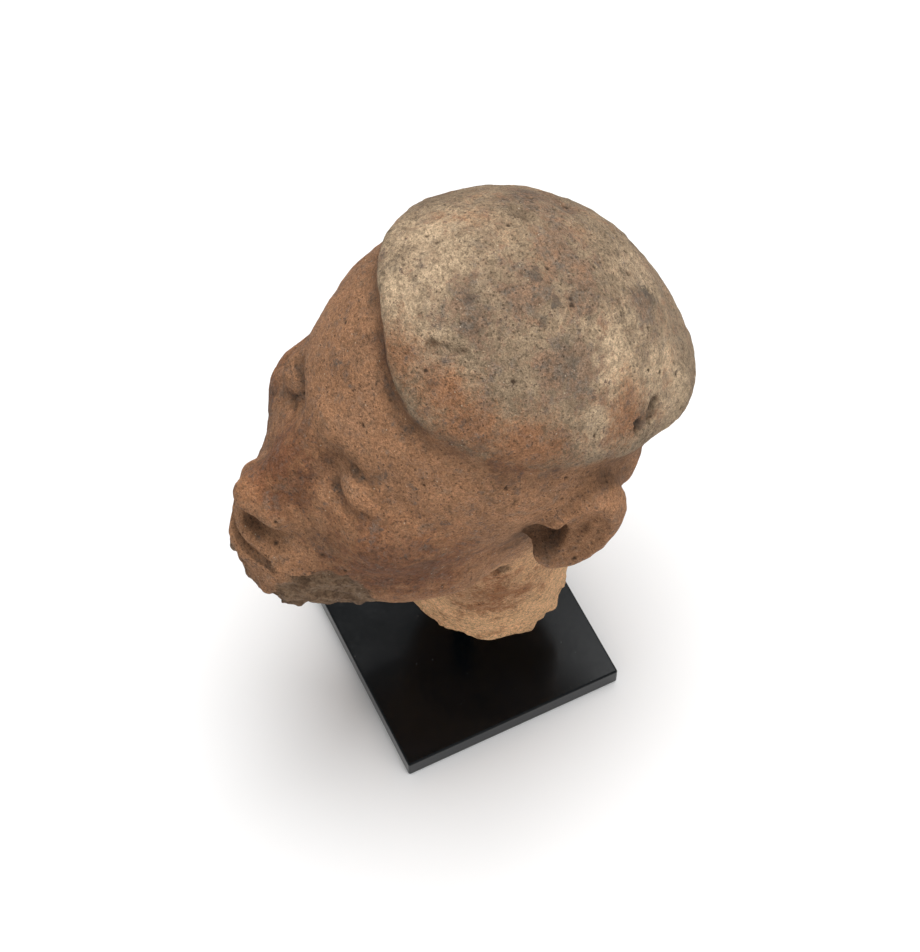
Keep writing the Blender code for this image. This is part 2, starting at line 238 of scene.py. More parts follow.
# Wear. A wave is how far it reaches up or down and how wide it is, in metres, and its draw.
WEAR_DEPTH = 0.0008
WEAR_WAVES = ((0.0006, 0.024, 1), (0.00034, 0.0095, 2), (0.00026, 0.0044, 3), (0.00017, 0.0021, 4))
BREAK_WAVES = ((0.0016, 0.0085, 5), (0.0014, 0.0037, 6))
RAGGED_WAVES = ((0.6, 0.0060, 11), (0.4, 0.0026, 12))
FLAKE_WAVES = ((1.0, 0.012, 7), (0.5, 0.004, 8))
BREAK_DEPTH = 0.0004
SCAR_DEPTH = 0.0017
CHIP_DEPTH = 0.0012
DENT_DEPTH = 0.0016
FLAKE_DEPTH = 0.00030
PIT_SPACING = 0.006
PIT_CHANCE = 0.6
PIT_DRAW = 9
PIT_RADII = (0.0006, 0.0015)
PIT_DEPTH = 0.0010
SCRATCH_CORE = (0.003, 0.001)
SCRATCH_SOFTNESS = 0.007
SCRATCH_DEPTH = 0.0010

# Where the edges of the worn places begin and end, and how far noise breaks them up
CHIN_EDGE = (0.002, 0.012)
CHIN_RAGGED = 0.010
SCAR_EDGE = (0.16, 0.36)
SCAR_RAGGED = 0.20
CHIP_EDGE = (0.42, 0.55)
CHIP_RAGGED = 0.55
DENT_EDGE = (0.2, 0.7)
DENT_RAGGED = 0.2
NECK_CLAY_EDGE = (0.30, 0.66)
NECK_CLAY_RAGGED = 0.05
NECK_CLAY_SLANT = 0.75
FOOT_EDGE = (0.012, 0.05)
FLAKE_EDGE = (0.25, 0.42)
CAP_CLAY_EDGE = (-0.035, 0.015)
FURROW_DROP = 0.036
FURROW_SPREAD = 0.042
FURROW_DEPTH = 0.0006
LIP_RISE = 0.014
LIP_SPREAD = 0.022
LIP_WEAR = 0.0012
# How far the hollow measure reaches; the finish reads it as painted shade and earth in the hollows
HOLLOW_SHARES = ((0.018, 0.5), (0.06, 0.6), (0.13, 0.6))


def ellipsoid(points, form):
    centre, radii = np.array(form)
    away = points - centre
    reach = np.linalg.norm(away / radii, axis=1)
    slope = np.linalg.norm(away / (radii * radii), axis=1)
    return reach * (reach - 1) / np.maximum(slope, 1e-6)


def bone(points, start, end, radii):
    start, end = np.array(start), np.array(end)
    line = end - start
    along = np.clip((points - start) @ line / (line @ line), 0, 1)
    away = np.linalg.norm(points - start - along[:, None] * line, axis=1)
    return away - radii[0] - (radii[1] - radii[0]) * along


def ridge(points, form):
    """A bent rod across the face. Its front, height and radius change with its side."""
    side = np.clip(points[:, 0], 0, form.last_side)
    off = side - form.middle
    front = form.front - form.front_bend * off**2
    up = form.up + form.slope * off - form.up_bend * off**2
    away = np.stack([points[:, 0] - side, points[:, 1] - front, points[:, 2] - up])
    return np.linalg.norm(away, axis=0) - form.radius + form.taper * off**2


def joined(one, other, blend):
    share = np.clip(0.5 + 0.5 * (other - one) / blend, 0, 1)
    return other + (one - other) * share - blend * share * (1 - share)


def carved(body, tool, blend):
    return -joined(-body, tool, blend)


def eased(value, low, high):
    share = np.clip((value - low) / (high - low), 0, 1)
    return share * share * (3 - 2 * share)


def with_brow_and_eyes(body, points):
    body = joined(body, ridge(points, BROW), SOFT_BLEND)
    body = carved(body, ellipsoid(points, EYE_SOCKET), SOFT_BLEND)
    body = joined(body, ellipsoid(points, EYE_BALL), CLOSE_BLEND)
    body = carved(body, ridge(points, LASH_LINE), CRISP_BLEND)
    return carved(body, ridge(points, LID_FOLD), CRISP_BLEND)


def with_nose(body, points):
    body = joined(body, bone(points, NOSE_ROOT, NOSE_END, NOSE_RADII), SOFT_BLEND)
    body = joined(body, ellipsoid(points, NOSE_TIP), MIDDLE_BLEND)
    body = joined(body, ellipsoid(points, NOSE_WING), MIDDLE_BLEND)
    return carved(body, ellipsoid(points, NOSTRIL), CLOSE_BLEND)


def with_mouth(body, points):
    body = joined(body, ridge(points, UPPER_LIP), CLOSE_BLEND)
    body = joined(body, ridge(points, LOWER_LIP), CLOSE_BLEND)
    body = carved(body, ridge(points, MOUTH_LINE), CRISP_BLEND)
    body = carved(body, bone(points, LIP_GROOVE_TOP, LIP_GROOVE_FOOT, LIP_GROOVE_RADII), CLOSE_BLEND)
    return carved(body, ridge(points, UNDER_LIP), MIDDLE_BLEND)


def above_cap_edge(places):
    side, front, up = places.T
    climb = eased(side, *CLIMB_SIDES) * eased(front, *CLIMB_FRONTS)
    dip = eased(front, *DIP_FRONTS)
    return up - CAP_EDGE - CAP_EDGE_CLIMB * climb + CAP_EDGE_DIP * dip


def with_cap(body, points, places):
    """The close cap: a soft edge that climbs over the brow, and a thick roll at the back."""
    cap = joined(ellipsoid(points, CAP), ellipsoid(points, CAP_ROLL), WIDE_BLEND)
    cap = carved(cap, above_cap_edge(places), SOFT_BLEND)
    return joined(body, cap, SOFT_BLEND)


def with_ears(body, points):
    ear = carved(ellipsoid(points, EAR), ellipsoid(points, EAR_BOWL), CLOSE_BLEND)
    ear = joined(ear, bone(points, EAR_FOLD_TOP, EAR_FOLD_FOOT, EAR_FOLD_RADII), CLOSE_BLEND)
    body = joined(body, ear, MIDDLE_BLEND)
    return carved(body, bone(points, EAR_HOLE_IN, EAR_HOLE_OUT, EAR_HOLE_RADII), CLOSE_BLEND)


def with_damage(body, places):
    side, front, up = places.T
    wave = np.sin(NECK_TURNS * side + 1) * np.cos(NECK_TURNS * front)
    wave += 0.5 * np.sin(2 * NECK_TURNS * (side + front))
    rough = CHIN_WAVE * np.sin(CHIN_TURNS * side + 2) * np.sin(CHIN_TURNS * up)
    body = carved(body, ellipsoid(places, CHIN_BREAK) + rough, CRISP_BLEND)
    body = carved(body, ellipsoid(places, CAP_DENT), MIDDLE_BLEND)
    scratch = bone(places, CAP_SCRATCH_START, CAP_SCRATCH_END, CAP_SCRATCH_RADII)
    body = carved(body, scratch, CRISP_BLEND)
    height = front * sin(HEAD_TILT) + up * cos(HEAD_TILT)
    return carved(body, height + SKULL_RISE - NECK_WAVE * wave, CLOSE_BLEND)


def head_form(places):
    """How far each place lies outside the head, in shares of the head's height."""
    # both halves are alike, and a small softness keeps the middle line from showing as a crease
    points = places.copy()
    points[:, 0] = np.sqrt(places[:, 0] ** 2 + MIDDLE_SOFTNESS**2)
    body = joined(ellipsoid(points, SKULL), ellipsoid(points, SKULL_CORNER), BODY_BLEND)
    body = joined(body, ellipsoid(points, FACE), WIDE_BLEND)
    body = joined(body, bone(points, JAW_BACK, JAW_FRONT, JAW_RADII), WIDE_BLEND)
    body = joined(body, ellipsoid(points, CHEEK), BODY_BLEND)
    body = joined(body, ellipsoid(points, CHIN), BODY_BLEND)
    body = joined(body, bone(points, NECK_TOP, NECK_FOOT, NECK_RADII), BODY_BLEND)
    body = joined(body, ellipsoid(points, MOUTH_MOUND), BODY_BLEND)
    body = with_brow_and_eyes(body, points)
    body = with_nose(body, points)
    body = with_mouth(body, points)
    body = with_cap(body, points, places)
    body = with_ears(body, points)
    return with_damage(body, places)


def in_metres(place):
    """A (side, front, up) place of the head form in the head's own metres, with the face along -Y."""
    side, front, up = place
    return Vector((side, -front, up)) * HEAD_HEIGHT


def in_shares(points):
    return points * np.array((1, -1, 1)) / HEAD_HEIGHT


# Noise for the worn surface


def lattice_noise(points, size, draw):
    """Smooth noise from -1 to 1 with lumps about as wide as size."""
    count = LATTICE_COUNT
    values = np.random.default_rng(draw).uniform(-1, 1, (count, count, count))
    cell = np.floor(points / size).astype(int)
    part = points / size - cell
    part = part * part * (3 - 2 * part)
    total = 0
    for corner in np.ndindex(2, 2, 2):
        place = (cell + corner) % count
        share = np.prod(np.where(corner, part, 1 - part), axis=1)
        total = total + share * values[place[:, 0], place[:, 1], place[:, 2]]
    return total


def waves(points, layers):
    return sum(depth * lattice_noise(points, size, draw) for depth, size, draw in layers)


def scattered(points, size, draw, chance):
    """The distance from each point to its nearest scattered centre, in shares of size, and that
    centre's own number from 0 to 1."""
    count = LATTICE_COUNT
    draws = np.random.default_rng(draw).random((count, count, count, 5))
    cell = np.floor(points / size).astype(int)
    nearest = np.full(len(points), FAR_AWAY)
    number = np.zeros(len(points))
    for step in np.ndindex(3, 3, 3):
        near_cell = cell + np.array(step) - 1
        place = near_cell % count
        centre = draws[place[:, 0], place[:, 1], place[:, 2]]
        away = np.linalg.norm(near_cell + centre[:, :3] - points / size, axis=1)
        away[centre[:, 3] > chance] = FAR_AWAY
        closer = away < nearest
        nearest[closer] = away[closer]
        number[closer] = centre[closer, 4]
    return nearest, number


# Mesh building


def mesh_of(draft, name):
    mesh = bpy.data.meshes.new(name)
    draft.to_mesh(mesh)
    draft.free()
    return mesh


def scene_object(name, data):
    obj = bpy.data.objects.new(name, data)
    bpy.context.scene.collection.objects.link(obj)
    return obj


def add_ball(draft, form, mirrored):
    centre, radii = form
    for hand in (1, -1) if mirrored else (1,):
        place = in_metres((hand * centre[0], centre[1], centre[2]))
        shape = Matrix.Translation(place) @ Matrix.Diagonal((*Vector(radii) * HEAD_HEIGHT, 1))
        bmesh.ops.create_icosphere(draft, subdivisions=4, radius=1, matrix=shape)


def add_bone(draft, start, end, radii, mirrored):
    for hand in (1, -1) if mirrored else (1,):
        low = in_metres((hand * start[0], start[1], start[2]))
        high = in_metres((hand * end[0], end[1], end[2]))
        turn = (high - low).to_track_quat("Z", "Y").to_matrix().to_4x4()
        bmesh.ops.create_cone(
            draft,
            cap_ends=True,
            segments=48,
            radius1=radii[0] * HEAD_HEIGHT,
            radius2=radii[1] * HEAD_HEIGHT,
            depth=(high - low).length,
            matrix=Matrix.Translation((low + high) / 2) @ turn,
        )


def rough_head():
    draft = bmesh.new()
    for form in (SKULL, CAP, CAP_ROLL, FACE, CHIN, MOUTH_MOUND, NOSE_TIP):
        add_ball(draft, form, mirrored=False)
    for form in (CHEEK, EYE_BALL, EAR):
        add_ball(draft, form, mirrored=True)
    add_bone(draft, NECK_TOP, NECK_FOOT, NECK_RADII, mirrored=False)
    add_bone(draft, NOSE_ROOT, NOSE_END, NOSE_RADII, mirrored=False)
    add_bone(draft, JAW_BACK, JAW_FRONT, JAW_RADII, mirrored=True)
    return skinned(mesh_of(draft, "rough_head"), COARSE_STEP)


def evaluated(obj):
    graph = bpy.context.evaluated_depsgraph_get()
    return bpy.data.meshes.new_from_object(obj.evaluated_get(graph))


def skinned(mesh, step):
    """The mesh's outside as one even skin of small quads."""
    obj = scene_object("skinned", mesh)
    skin = obj.modifiers.new("one skin", "REMESH")
    skin.mode = "VOXEL"
    skin.voxel_size = step
    skin.adaptivity = 0
    result = evaluated(obj)
    bpy.data.objects.remove(obj, do_unlink=True)
    return result


def corners_of(mesh):
    points = np.empty(len(mesh.vertices) * 3)
    mesh.vertices.foreach_get("co", points)
    return points.reshape(-1, 3)


def ends_of(mesh):
    edges = np.empty(len(mesh.edges) * 2, int)
    mesh.edges.foreach_get("vertices", edges)
    return edges.reshape(-1, 2)


def neighbours_mean(values, edges):
    """The mean of each point's neighbours, for a column of values or for places."""
    values = values.reshape(len(values), -1)
    count = np.bincount(edges.ravel(), minlength=len(values))
    sums = [
        np.bincount(edges[:, 0], column[edges[:, 1]], len(values))
        + np.bincount(edges[:, 1], column[edges[:, 0]], len(values))
        for column in values.T
    ]
    return np.stack(sums, axis=1) / count[:, None]


def form_slope(places):
    probes = np.array(((1, -1, -1), (-1, -1, 1), (-1, 1, -1), (1, 1, 1)), float)
    slope = sum(probe * head_form(places + PROBE_REACH * probe)[:, None] for probe in probes)
    return slope / (np.linalg.norm(slope, axis=1)[:, None] + 1e-9)


def settle(mesh, rounds):
    """Moves the skin's points onto the head form, and evens them out along it."""
    places = in_shares(corners_of(mesh))
    edges = ends_of(mesh)
    for turn in range(rounds):
        slope = form_slope(places)
        distance = np.clip(head_form(places), -LONGEST_MOVE, LONGEST_MOVE)
        places = places - distance[:, None] * slope
        if turn < rounds - ROUNDS_WITHOUT_DRIFT:
            drift = neighbours_mean(places, edges) - places
            drift -= (drift * slope).sum(1)[:, None] * slope
            places = places + DRIFT_SHARE * drift
    mesh.vertices.foreach_set("co", (places * np.array((1, -1, 1)) * HEAD_HEIGHT).ravel())
    mesh.update()
    return places


def near(places, centre, reach):
    """1 at the centre, falling softly to 0 at the reach and beyond. Reach may be three sizes."""
    away = np.linalg.norm((places - np.array(centre)) / np.array(reach), axis=1)
    return 1 - eased(away, 0.0, 1.0)


def greatest(places, marks):
    return np.max([near(places, *mark) for mark in marks], axis=0)


def break_masks(places, ragged):
    """Where the chin, the jaw, the foot of the neck and the cap's edge are broken away."""
    front, up = places.T[1:]
    height = front * sin(HEAD_TILT) + up * cos(HEAD_TILT) + SKULL_RISE
    chin = 1 - eased(ellipsoid(places, CHIN_BREAK) + CHIN_RAGGED * ragged, *CHIN_EDGE)
    scar = eased(greatest(places, CHIN_SCAR) + SCAR_RAGGED * ragged, *SCAR_EDGE)
    chip = eased(greatest(places, EDGE_CHIPS) + CHIP_RAGGED * ragged, *CHIP_EDGE)
    foot = 1 - eased(height, *FOOT_EDGE)
    return chin, scar, chip, foot


def pitted(places, metres):
    """How deep the pits and the scratch go, and the mask of their dark floors."""
    away, number = scattered(metres, PIT_SPACING, PIT_DRAW, PIT_CHANCE)
    radius = PIT_RADII[0] + (PIT_RADII[1] - PIT_RADII[0]) * number
    pit = np.clip(1 - away * PIT_SPACING / radius, 0, 1)
    depth = PIT_DEPTH * pit * (0.5 + number)
    for centre, reach, fall in DEEP_PITS:
        hole = near(places, centre, reach)
        depth += fall * hole
        pit = np.maximum(pit, hole)
    line = bone(places, CAP_SCRATCH_START, CAP_SCRATCH_END, SCRATCH_CORE)
    scratch = 1 - eased(line, 0, SCRATCH_SOFTNESS)
    return depth + SCRATCH_DEPTH * scratch, np.maximum(pit, 0.8 * scratch)


def worn(places):
    """How far the surface is worn in, in metres, and the masks that the finish reads."""
    metres = places * HEAD_HEIGHT
    front, up = places.T[1:]
    rise = above_cap_edge(places)
    ragged = waves(metres, RAGGED_WAVES)
    chin, scar, chip, foot = break_masks(places, ragged)
    broken = np.max([chin, scar, foot, chip], axis=0)
    furrow = np.exp(-(((rise + FURROW_DROP) / FURROW_SPREAD) ** 2))
    lip = np.exp(-(((rise - LIP_RISE) / LIP_SPREAD) ** 2))
    dent = near(places, *TOP_DENT)
    flaked = eased(waves(metres, FLAKE_WAVES), *FLAKE_EDGE)
    depth, pit = pitted(places, metres)
    depth += WEAR_DEPTH + waves(metres, WEAR_WAVES)
    depth += broken * (waves(metres, BREAK_WAVES) + BREAK_DEPTH)
    depth += SCAR_DEPTH * scar + CHIP_DEPTH * chip
    depth += FURROW_DEPTH * furrow + LIP_WEAR * lip
    depth += DENT_DEPTH * eased(dent + DENT_RAGGED * ragged, *DENT_EDGE)
    depth += FLAKE_DEPTH * flaked
    neck_clay = NECK_CLAY_RAGGED * ragged - up - NECK_CLAY_SLANT * front
    masks = {
        "chin_break": np.maximum(chin, scar),
        "chip": np.maximum(chip, 0.8 * dent),
        "furrow": furrow,
        "flaked": flaked,
        "bare": eased(-rise, *CAP_CLAY_EDGE),
        "neck": eased(neck_clay, *NECK_CLAY_EDGE),
        "pit": pit,
        "film": greatest(places, FILM),
        "buff": greatest(places, BUFF),
        "ochre": greatest(places, OCHRE),
        "spot": greatest(places, SPOTS),
    }
    return depth, masks


def write_layer(mesh, name, values):
    layer = mesh.attributes.new(name, "FLOAT", "POINT")
    layer.data.foreach_set("value", np.clip(values, 0, 1).astype(np.float32))


def hollow_layer(places, slope):
    """How much a place sits in a hollow of the form, from 0 to 1."""
    total = 0
    for reach, share in HOLLOW_SHARES:
        total = total + share * (1 - head_form(places + reach * slope) / reach)
    return total


def build_head():
    mesh = rough_head()
    for rounds in COARSE_ROUNDS:
        settle(mesh, rounds)
        mesh = skinned(mesh, COARSE_STEP)
    settle(mesh, COARSE_ROUNDS[-1])
    mesh = skinned(mesh, FINE_STEP)
    places = settle(mesh, FINE_ROUNDS)
    slope = form_slope(places)
    depth, masks = worn(places)
    points = (places * HEAD_HEIGHT - depth[:, None] * slope) * np.array((1, -1, 1))
    turn = np.array(Matrix.Rotation(-HEAD_TILT, 3, "X"))
    points = points @ turn.T + np.array(SKULL_PLACE)
    mesh.vertices.foreach_set("co", points.ravel())
    # the hollow measure, which the finish turns into painted shade and earth
    masks["hollow"] = hollow_layer(places, slope)
    for name, values in masks.items():
        write_layer(mesh, name, values)
    mesh.polygons.foreach_set("use_smooth", np.ones(len(mesh.polygons), bool))
    mesh.update()
    mesh.name = "head"
    head = scene_object("head", mesh)
    cut_socket(head)
    return head


def cut_socket(head):
    draft = bmesh.new()
    radius = ROD_WIDTH / 2 + CLEARANCE
    low, high = BASE_HEIGHT, BREAK_HEIGHT + SOCKET_DEPTH
    bmesh.ops.create_cone(
        draft,
        cap_ends=True,
        segments=ROD_SIDES,
        radius1=radius,
        radius2=radius,
        depth=high - low,
        matrix=Matrix.Translation((0, 0, (low + high) / 2)),
    )
    cutter = scene_object("socket_cutter", mesh_of(draft, "socket_cutter"))
    cut = head.modifiers.new("socket", "BOOLEAN")
    cut.operation = "DIFFERENCE"
    cut.solver = "EXACT"
    cut.object = cutter
    mesh = evaluated(head)
    head.modifiers.clear()
    head.data = mesh
    bpy.data.objects.remove(cutter, do_unlink=True)


# Materials


def linear(*shown):
    """A colour as a screen shows it, 0 to 255, as the linear values that a shader takes."""
    values = [part / 255 for part in shown]
    return tuple(v / 12.92 if v <= 0.04045 else ((v + 0.055) / 1.055) ** 2.4 for v in values) + (1,)


# The colours of the clay, its dirt, its painted shade and painted light, of the mount and of the
# floor
TAN = linear(160, 138, 112)
DUSTY_BUFF = linear(211, 184, 151)
BROWN = linear(175, 128, 93)
RUSSET = linear(124, 81, 57)
OCHRE_CLAY = linear(157, 108, 74)
# paler clay of the neck and nape, made lighter still as painted light
PALE_CLAY_AND_LIGHT = linear(240, 191, 143)
UMBER = linear(124, 96, 76)
RUST = linear(134, 106, 86)
SLATE = linear(107, 97, 88)
GREY = linear(116, 108, 97)
STONE = linear(150, 125, 99)
SOIL = linear(102, 82, 64)
EARTH_AND_SHADE = linear(74, 59, 47)
# earth brown, also the colour of the painted shade in the hollows and along the furrow
CHAR = linear(74, 68, 63)
QUARTZ = linear(222, 206, 180)
DARK_PAINT = linear(3, 8, 11)
WORN_PAINT = linear(8, 13, 17)
DUST = linear(120, 120, 118)
DARK_STEEL = linear(20, 20, 21)
WORN_STEEL = linear(40, 40, 41)
FLOOR_WHITE = linear(247, 247, 247)


class Nodes:
    """Short names for the nodes of one material."""

    def __init__(self, name):
        self.material = bpy.data.materials.new(name)
        self.material.use_nodes = True
        self.tree = self.material.node_tree
        self.shader = self.tree.nodes["Principled BSDF"]
        self.place = self.tree.nodes.new("ShaderNodeTexCoord").outputs["Object"]

    def new(self, kind, **settings):
        node = self.tree.nodes.new(kind)
        for key, value in settings.items():
            setattr(node, key, value)
        return node

    def fill(self, socket, value):
        if isinstance(value, bpy.types.NodeSocket):
            self.tree.links.new(value, socket)
        else:
            socket.default_value = value

    def noise(self, size, detail, roughness):
        node = self.new("ShaderNodeTexNoise")
        self.fill(node.inputs["Vector"], self.place)
        node.inputs["Scale"].default_value = 1 / size
        node.inputs["Detail"].default_value = detail
        node.inputs["Roughness"].default_value = roughness
        return node.outputs["Fac"]

    def cells(self, size):
        node = self.new("ShaderNodeTexVoronoi")
        self.fill(node.inputs["Vector"], self.place)
        node.inputs["Scale"].default_value = 1 / size
        return node

    def layer(self, name):
        return self.new("ShaderNodeAttribute", attribute_name=name).outputs["Fac"]

    def spread(self, value, low, high, start=0.0, end=1.0):
        node = self.new("ShaderNodeMapRange", interpolation_type="SMOOTHSTEP")
        self.fill(node.inputs["Value"], value)
        node.inputs["From Min"].default_value = low
        node.inputs["From Max"].default_value = high
        node.inputs["To Min"].default_value = start
        node.inputs["To Max"].default_value = end
        return node.outputs["Result"]

    def maths(self, operation, one, other):
        node = self.new("ShaderNodeMath", operation=operation)
        self.fill(node.inputs[0], one)
        self.fill(node.inputs[1], other)
        return node.outputs[0]

    def plus(self, one, other):
        return self.maths("ADD", one, other)

    def times(self, one, other):
        return self.maths("MULTIPLY", one, other)

    def either(self, one, other):
        return self.maths("MAXIMUM", one, other)

    def mix(self, share, one, other, blend="MIX"):
        node = self.new("ShaderNodeMix", data_type="RGBA", blend_type=blend)
        self.fill(node.inputs["Factor"], share)
        self.fill(node.inputs["A"], one)
        self.fill(node.inputs["B"], other)
        return node.outputs["Result"]

    def ragged(self, mask, low, high, *noises):
        """A mask whose soft edge is broken up by noises, each with its weight."""
        total = mask
        for noise, weight in noises:
            total = self.plus(total, self.spread(noise, 0.25, 0.75, -weight / 2, weight / 2))
        return self.spread(total, low, high)

    def shaded(self, colour, value, low, high, dark, light):
        """The colour times a grey that runs from dark to light with the value."""
        grey = self.new("ShaderNodeCombineColor")
        level = self.spread(value, low, high, dark, light)
        for name in ("Red", "Green", "Blue"):
            self.fill(grey.inputs[name], level)
        return self.mix(1.0, colour, grey.outputs["Color"], "MULTIPLY")

    def bump(self, height, distance):
        node = self.new("ShaderNodeBump")
        node.inputs["Distance"].default_value = distance
        self.fill(node.inputs["Height"], height)
        self.fill(self.shader.inputs["Normal"], node.outputs["Normal"])


Grain = namedtuple("Grain", "cloud blotch mottle sand grit")


def clay_grain(made):
    """The clay's unevenness, from the size of a thumb down to the size of a grain."""
    return Grain(
        cloud=made.noise(0.024, 4, 0.62),
        blotch=made.noise(0.0085, 6, 0.70),
        mottle=made.noise(0.0034, 5, 0.72),
        sand=made.noise(0.0013, 4, 0.75),
        grit=made.noise(0.0006, 2, 0.7),
    )


def dust_share(made, grain):
    noises = (grain.cloud, 0.4), (grain.blotch, 0.7), (grain.mottle, 0.6), (grain.sand, 0.4)
    return made.ragged(made.layer("buff"), 0.0, 1.15, *noises)


def bare_clay(made, grain, dusty):
    """The cap's tan and dusty buff, and the warmer clay of the face."""
    cap = made.mix(dusty, TAN, DUSTY_BUFF)
    baked = made.spread(made.noise(0.0052, 6, 0.78), 0.50, 0.66)
    cap = made.mix(made.times(baked, 0.5), cap, UMBER)
    noises = (grain.cloud, 0.5), (grain.blotch, 0.5), (grain.sand, 0.5)
    warm = made.ragged(made.layer("ochre"), 0.0, 1.05, *noises)
    cap = made.mix(made.times(warm, 0.85), cap, OCHRE_CLAY)
    face = made.mix(warm, BROWN, OCHRE_CLAY)
    red = made.ragged(made.layer("ochre"), 0.20, 1.0, (grain.blotch, 0.9), (grain.mottle, 0.4))
    face = made.mix(red, face, RUSSET)
    below = made.ragged(made.layer("bare"), 0.0, 1.0, (grain.blotch, 0.5), (grain.sand, 0.4))
    return made.mix(made.times(below, 0.95), cap, face)


def with_films(made, grain, colour):
    """Thin dark films and grey spots over the clay."""
    turns_grey = made.spread(made.noise(0.0050, 6, 0.75), 0.46, 0.60)
    film = made.mix(turns_grey, RUST, SLATE)
    noises = (grain.blotch, 1.3), (grain.mottle, 0.8), (grain.sand, 0.5)
    share = made.ragged(made.layer("film"), 0.20, 0.80, *noises)
    colour = made.mix(made.times(share, 0.72), colour, film)
    stray = made.plus(made.times(grain.blotch, 0.6), made.times(grain.mottle, 0.4))
    colour = made.mix(made.times(made.spread(stray, 0.50, 0.64), 0.40), colour, film)
    grey = made.plus(made.times(made.noise(0.0061, 5, 0.7), 0.8), made.times(grain.sand, 0.2))
    grey = made.times(made.spread(grey, 0.53, 0.66), 0.45)
    colour = made.mix(grey, colour, GREY)
    return made.mix(made.times(made.layer("flaked"), 0.18), colour, film)


# The neck and the nape in paler clay, painted lighter still to stand for the light they catch
def with_pale_lit_neck(made, grain, colour):
    noises = (grain.cloud, 0.9), (grain.blotch, 1.0), (grain.mottle, 0.8)
    fired = made.ragged(made.layer("ochre"), -0.25, 1.10, *noises)
    neck = made.mix(fired, PALE_CLAY_AND_LIGHT, OCHRE_CLAY)
    share = made.ragged(made.layer("neck"), 0.10, 1.05, (grain.cloud, 0.5), (grain.blotch, 0.6))
    return made.mix(share, colour, neck)


def with_grain(made, grain, colour):
    colour = made.shaded(colour, grain.cloud, 0.32, 0.68, 0.88, 1.12)
    colour = made.shaded(colour, grain.mottle, 0.35, 0.65, 0.82, 1.18)
    colour = made.shaded(colour, grain.sand, 0.32, 0.68, 0.71, 1.29)
    return made.shaded(colour, grain.grit, 0.30, 0.70, 0.76, 1.24)


def with_breaks(made, grain, colour):
    """The stony grey-brown of the broken places, and the dark chips."""
    lumps = made.plus(made.times(grain.blotch, 0.45), made.times(grain.mottle, 0.55))
    stone = made.mix(made.spread(lumps, 0.42, 0.60), SOIL, STONE)
    stone = made.shaded(stone, grain.sand, 0.3, 0.7, 0.65, 1.30)
    colour = made.mix(made.times(made.layer("chin_break"), 0.85), colour, stone)
    return made.mix(made.times(made.layer("chip"), 0.6), colour, EARTH_AND_SHADE)


def with_dirt_and_shade(made, grain, colour):
    """Earth and painted shade in the hollows and along the furrow, earth in the pits, and dark spots.
    """
    # painted shade and earth: the hollows of the form are darkened towards earth brown, for the shade
    # that falls in them and for dirt
    hollow_dirt_and_shade = made.ragged(made.layer("hollow"), 0.25, 1.05, (grain.blotch, 0.45), (grain.sand, 0.35))
    colour = made.mix(made.times(hollow_dirt_and_shade, 0.50), colour, EARTH_AND_SHADE)
    # painted shade: a slight darkening along the furrow under the cap's edge
    colour = made.mix(made.times(made.layer("furrow"), 0.06), colour, EARTH_AND_SHADE)
    colour = made.mix(made.spread(made.layer("pit"), 0.1, 0.6, 0.0, 0.9), colour, EARTH_AND_SHADE)
    spot = made.ragged(made.layer("spot"), 0.40, 0.80, (grain.mottle, 1.5), (grain.sand, 0.9))
    colour = made.mix(made.times(spot, 0.6), colour, CHAR)
    stray = made.spread(made.noise(0.0046, 5, 0.75), 0.64, 0.71, 0.0, 0.5)
    return made.mix(stray, colour, CHAR)


def open_pores(made):
    cells = made.cells(0.0016)
    chosen = made.spread(cells.outputs["Color"], 0.46, 0.58)
    pore = made.times(made.spread(cells.outputs["Distance"], 0.10, 0.30, 1.0, 0.0), chosen)
    crack = made.spread(made.noise(0.0012, 3, 0.6), 0.60, 0.68)
    return made.either(pore, crack)


def with_quartz(made, colour):
    """A few pale grains in the clay."""
    cells = made.cells(0.0031)
    few = made.spread(cells.outputs["Color"], 0.58, 0.62)
    bit = made.times(made.spread(cells.outputs["Distance"], 0.05, 0.10, 1.0, 0.0), few)
    return made.mix(made.times(bit, 0.6), colour, QUARTZ)


def clay_relief(made, grain, pore):
    height = made.plus(made.times(grain.mottle, 0.0016), made.times(grain.sand, 0.0014))
    height = made.plus(height, made.times(grain.grit, 0.0006))
    made.bump(made.plus(height, made.times(pore, -0.00045)), 1.0)


def terracotta():
    made = Nodes("terracotta")
    grain = clay_grain(made)
    dusty = dust_share(made, grain)
    pore = open_pores(made)
    colour = bare_clay(made, grain, dusty)
    colour = with_films(made, grain, colour)
    colour = with_pale_lit_neck(made, grain, colour)
    colour = with_grain(made, grain, colour)
    colour = with_breaks(made, grain, colour)
    colour = with_dirt_and_shade(made, grain, colour)
    filled = made.times(pore, made.spread(dusty, 0.2, 1.0, 0.65, 0.30))
    colour = made.mix(filled, colour, EARTH_AND_SHADE)
    colour = with_quartz(made, colour)
    made.fill(made.shader.inputs["Base Color"], colour)
    made.fill(made.shader.inputs["Roughness"], made.spread(grain.sand, 0.3, 0.7, 0.82, 0.97))
    made.shader.inputs["Specular IOR Level"].default_value = 0.2
    clay_relief(made, grain, pore)
    return made.material


